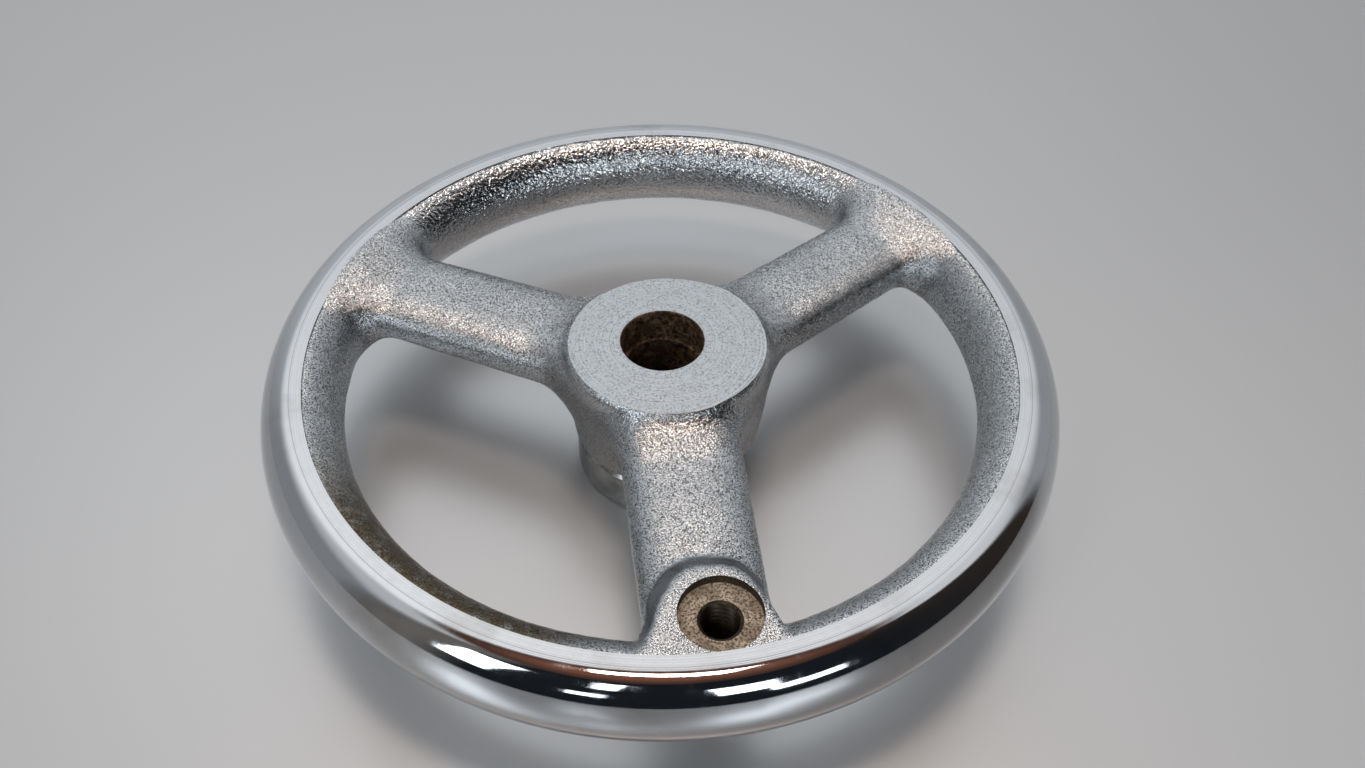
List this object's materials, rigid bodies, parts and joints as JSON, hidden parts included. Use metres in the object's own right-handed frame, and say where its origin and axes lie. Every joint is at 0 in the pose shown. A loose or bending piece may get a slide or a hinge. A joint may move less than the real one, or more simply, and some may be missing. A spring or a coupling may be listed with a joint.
{
  "type": "winch handwheel",
  "caption": "Cast spoked handwheel with a machined hub, a bearing collar under it and a tapped seat at the rim for a crank handle.",
  "frame": {"origin": "on the bore axis, at the foot of the bearing collar", "axes": "+Z along the bore, out of the hub face; -Y from the bore to the tapped hole for the crank handle"},
  "size_m": [0.2032, 0.2032, 0.0423],
  "materials": {
    "plated_casting": "bright plating over rough cast iron, turned and polished rim",
    "liner_steel": "bare steel with a light brown rust",
    "washer": "black moulded",
    "plated_steel": "smooth bright plating",
    "spring_steel": "phosphated black",
    "screw_steel": "blackened"
  },
  "bodies": {
    "collar": {"bearing_collar": "plated_steel", "thrust_washer": "washer"},
    "wheel": {"wheel_casting": "plated_casting", "bore_liner": "liner_steel", "retaining_ring": "spring_steel"},
    "screw": {"grub_screw": "screw_steel"}
  },
  "joints": [
    {"name": "wheel_turn", "type": "hinge", "parent": "collar", "child": "wheel", "pos_m": [0, 0, 0.007], "axis": [0, 0, 1], "continuous": true},
    {"name": "grub_screw_travel", "type": "slide", "parent": "wheel", "child": "screw", "axis": [0, 1, 0], "range_m": [0, 0.007]}
  ]
}
